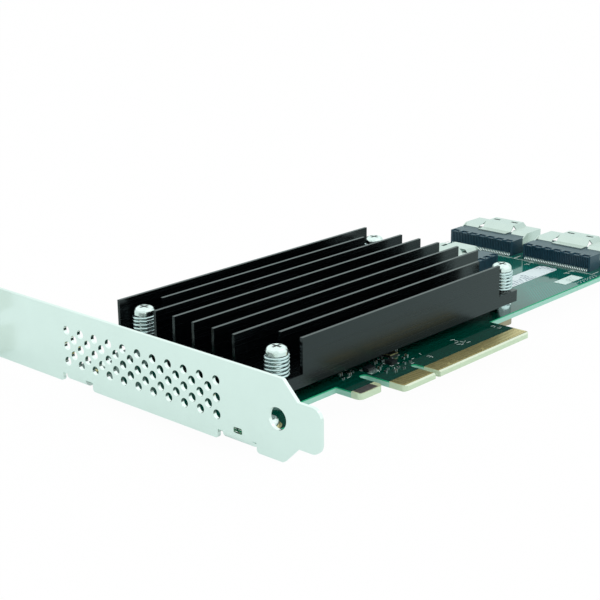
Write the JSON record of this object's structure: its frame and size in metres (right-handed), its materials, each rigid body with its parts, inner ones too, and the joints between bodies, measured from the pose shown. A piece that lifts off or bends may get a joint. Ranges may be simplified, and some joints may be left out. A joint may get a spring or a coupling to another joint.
{
  "type": "sas host bus adapter",
  "caption": "Low-profile edge-connector card with a finned black heatsink, vented full-height bracket and internal cable receptacles",
  "frame": {"origin": "middle of the edge connector's lower edge, on the board's middle plane", "axes": "+X along the card away from the bracket, +Y up the card towards its upper edge, +Z out of the component side"},
  "size_m": [0.1819, 0.1191, 0.0216],
  "materials": {
    "board_green": "solder-masked glass laminate",
    "gold": "gold plated",
    "nickel_sheet": "bright nickel plated",
    "plated_screw": "nickel plated",
    "black_anodised": "black anodised",
    "spring_steel": "zinc plated",
    "ring_brass": "dull plated",
    "package_green": "package substrate",
    "lid_metal": "dull metal",
    "pad_grey": "soft thermal pad",
    "moulding_black": "moulded, fine matt",
    "shell_steel": "nickel plated",
    "tinned": "tinned",
    "light_body": "tinted resin",
    "chip_black": "moulded epoxy",
    "crystal_lid": "gold-edged ceramic can",
    "capacitor_tan": "fired ceramic",
    "label_white": "coated paper"
  },
  "bodies": {
    "root": {"circuit_board": "board_green", "edge_contacts_component_side": "gold", "edge_contacts_solder_side": "gold", "bracket": "nickel_sheet", "ground_pads": "gold", "bracket_screws": "plated_screw", "heatsink": "black_anodised", "heatsink_springs": "spring_steel", "heatsink_screws": "plated_screw", "heatsink_standoffs": "plated_screw", "standoff_rings": "ring_brass", "controller_package": "package_green", "controller_lid": "lid_metal", "thermal_pad": "pad_grey", "receptacle_1_moulding": "moulding_black", "receptacle_2_moulding": "moulding_black", "receptacle_3_moulding": "moulding_black", "receptacle_1_shell": "shell_steel", "receptacle_2_shell": "shell_steel", "receptacle_3_shell": "shell_steel", "receptacle_1_leads": "tinned", "receptacle_2_leads": "tinned", "receptacle_3_leads": "tinned", "status_light": "light_body", "status_light_base": "label_white", "tab_pad": "tinned", "regulator": "chip_black", "regulator_leads": "tinned", "clock_chip": "chip_black", "crystal": "crystal_lid", "capacitors": "capacitor_tan", "capacitor_ends": "tinned", "resistors": "chip_black", "resistor_ends": "tinned", "serial_label": "label_white", "small_label": "label_white"}
  },
  "joints": []
}
